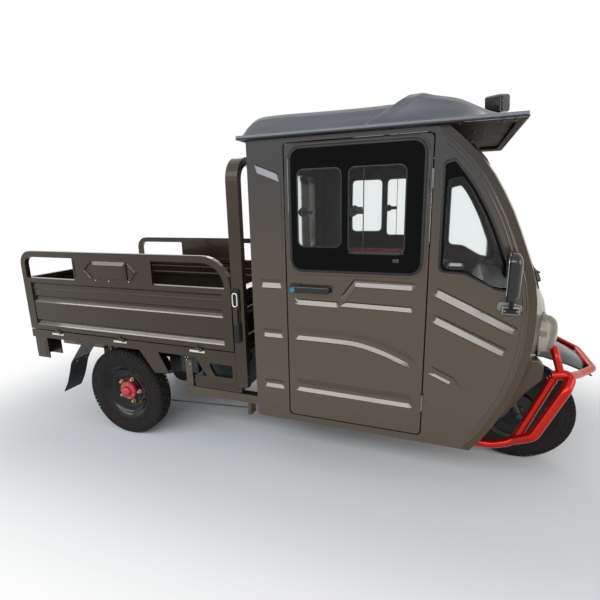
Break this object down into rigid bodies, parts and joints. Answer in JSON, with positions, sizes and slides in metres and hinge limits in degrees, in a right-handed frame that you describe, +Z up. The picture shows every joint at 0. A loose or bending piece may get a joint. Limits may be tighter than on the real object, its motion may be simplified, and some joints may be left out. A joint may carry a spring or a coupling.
{
  "type": "electric cargo tricycle",
  "caption": "Enclosed cargo tricycle: rounded glazed cab in front, drop-sided open bed behind, one steered front wheel in a tube guard, and a driven rear axle.",
  "frame": {"origin": "on the ground, at the middle of the bounding box's footprint", "axes": "+X points forward, +Y to the vehicle's left, +Z up"},
  "size_m": [3.3799, 1.432, 1.9163],
  "materials": {
    "bronze_paint": "metallic bronze-brown body paint",
    "bumper_red": "gloss red powder coat",
    "black_paint": "satin black paint",
    "black_plastic": "grained black moulding",
    "tyre_rubber": "black rubber",
    "tinted_glass": "smoke-tinted safety glass",
    "clear_lens": "clear lamp lens",
    "lamp_red": "red lamp lens",
    "seat_vinyl": "black seat vinyl",
    "battery_case": "dark teal casing",
    "mudguard_grey": "dark grey moulding"
  },
  "bodies": {
    "chassis": {"battery_pack": "battery_case", "bed_floor": "black_paint", "bed_frame": "bronze_paint", "bumper": "bumper_red", "cab_floor": "black_paint", "cab_front": "bronze_paint", "cab_rear_wall": "bronze_paint", "cab_side_left": "bronze_paint", "cab_side_right": "bronze_paint", "chassis_frame": "bronze_paint", "controller_box": "battery_case", "dashboard": "black_plastic", "front_mudguard": "mudguard_grey", "headboard": "bronze_paint", "headlight_left": "clear_lens", "headlight_right": "clear_lens", "leaf_spring_left": "bronze_paint", "leaf_spring_right": "bronze_paint", "mirror_left": "black_plastic", "mirror_right": "black_plastic", "mud_flap_left": "black_plastic", "mud_flap_right": "black_plastic", "quarter_glass_left": "tinted_glass", "quarter_glass_right": "tinted_glass", "rear_axle": "black_paint", "rear_glass": "tinted_glass", "roof": "bronze_paint", "roof_lamp": "black_plastic", "seat_back": "seat_vinyl", "seat_base": "black_plastic", "seat_cushion": "seat_vinyl", "tail_lamp_left": "lamp_red", "tail_lamp_right": "lamp_red", "windscreen": "tinted_glass"},
    "right_door": {"door_right": "bronze_paint", "door_glass_right": "tinted_glass"},
    "left_door": {"door_left": "bronze_paint", "door_glass_left": "tinted_glass"},
    "right_gate": {"gate_right": "bronze_paint"},
    "left_gate": {"gate_left": "bronze_paint"},
    "rear_gate": {"tailgate": "bronze_paint"},
    "steering": {"front_fork": "black_paint"},
    "front_wheel": {"front_tyre": "tyre_rubber", "front_rim": "black_paint"},
    "rear_wheel_right": {"rear_tyre_right": "tyre_rubber", "rear_rim_right": "black_paint"},
    "rear_wheel_left": {"rear_tyre_left": "tyre_rubber", "rear_rim_left": "black_paint"}
  },
  "joints": [
    {"name": "right_door_hinge", "type": "hinge", "parent": "chassis", "child": "right_door", "pos_m": [0.854, -0.5595, 1], "axis": [0, 0, 1], "range_deg": [0, 70]},
    {"name": "left_door_hinge", "type": "hinge", "parent": "chassis", "child": "left_door", "pos_m": [0.854, 0.5595, 1], "axis": [0, 0, -1], "range_deg": [0, 70]},
    {"name": "right_gate_hinge", "type": "hinge", "parent": "chassis", "child": "right_gate", "pos_m": [-0.9, -0.5582, 0.6375], "axis": [1, 0, 0], "range_deg": [0, 180]},
    {"name": "left_gate_hinge", "type": "hinge", "parent": "chassis", "child": "left_gate", "pos_m": [-0.9, 0.5582, 0.6375], "axis": [-1, 0, 0], "range_deg": [0, 180]},
    {"name": "tailgate_hinge", "type": "hinge", "parent": "chassis", "child": "rear_gate", "pos_m": [-1.6782, 0, 0.6375], "axis": [0, -1, 0], "range_deg": [0, 180]},
    {"name": "steering_head", "type": "hinge", "parent": "chassis", "child": "steering", "pos_m": [1.11405, 0, 0.67878], "axis": [-0.4226, 0, 0.9063], "range_deg": [-38, 38]},
    {"name": "front_wheel_spin", "type": "hinge", "parent": "steering", "child": "front_wheel", "pos_m": [1.33, 0, 0.28], "axis": [0, 1, 0], "continuous": true},
    {"name": "rear_wheel_spin_right", "type": "hinge", "parent": "chassis", "child": "rear_wheel_right", "pos_m": [-0.935, -0.499, 0.28], "axis": [0, 1, 0], "continuous": true},
    {"name": "rear_wheel_spin_left", "type": "hinge", "parent": "chassis", "child": "rear_wheel_left", "pos_m": [-0.935, 0.499, 0.28], "axis": [0, 1, 0], "continuous": true}
  ]
}
